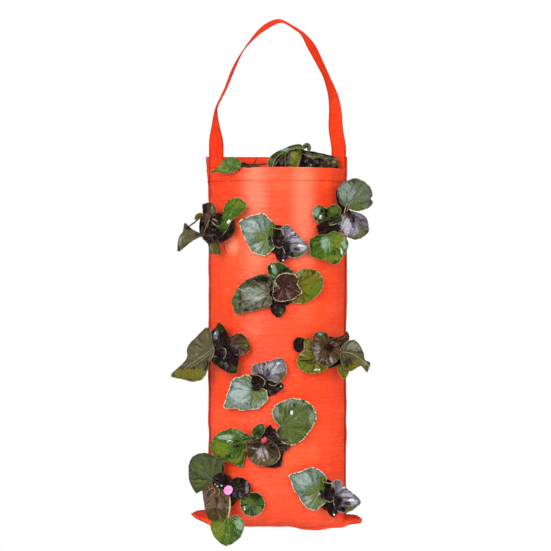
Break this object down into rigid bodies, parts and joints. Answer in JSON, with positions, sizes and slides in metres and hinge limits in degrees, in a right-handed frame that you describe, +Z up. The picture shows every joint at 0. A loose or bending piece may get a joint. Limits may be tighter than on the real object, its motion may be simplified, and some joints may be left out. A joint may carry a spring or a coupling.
{
  "type": "hanging grow bag",
  "caption": "Tall orange woven pouch hung by a twisted webbing loop, with young leafy plants growing out of holes in its front and out of its open top.",
  "frame": {"origin": "underside of the strap's crest, where the hook carries it", "axes": "+Z up along the hanging bag, +X to the right as the planted face is seen, -Y the way the planted face looks"},
  "size_m": [0.3241, 0.1769, 0.8975],
  "materials": {
    "woven_sheet": "woven polyethylene tape sheet, satin, finely crinkled, orange-red",
    "webbing": "folded and stitched woven tape webbing, satin, orange-red",
    "potting_mix": "matt, crumbly bark and peat mix, damp",
    "root_plug": "matt, fibrous root-bound peat",
    "foliage": "waxy living leaves, green to bronze, glossy with pale edges",
    "petal": "soft satin petal"
  },
  "bodies": {
    "strap": {"strap": "webbing"},
    "bag": {"strap_end_left": "webbing", "strap_end_right": "webbing", "front_panel": "woven_sheet", "back_panel": "woven_sheet", "potting_mix": "potting_mix", "root_plug_1": "root_plug", "root_plug_2": "root_plug", "root_plug_3": "root_plug", "root_plug_4": "root_plug", "root_plug_5": "root_plug", "root_plug_6": "root_plug", "root_plug_7": "root_plug", "root_plug_8": "root_plug", "root_plug_9": "root_plug", "root_plug_10": "root_plug", "plant_1": "foliage", "plant_2": "foliage", "plant_3": "foliage", "plant_4": "foliage", "plant_5": "foliage", "plant_6": "foliage", "plant_7": "foliage", "plant_8": "foliage", "plant_9": "foliage", "plant_10": "foliage", "top_plant_left": "foliage", "top_plant_middle": "foliage", "top_plant_right": "foliage", "flower_petals": "petal", "flower_bud": "petal"}
  },
  "joints": [
    {"name": "bag_swing", "type": "hinge", "parent": "strap", "child": "bag", "pos_m": [0, 0, -0.212], "axis": [1, 0, 0], "range_deg": [-90, 90]}
  ]
}
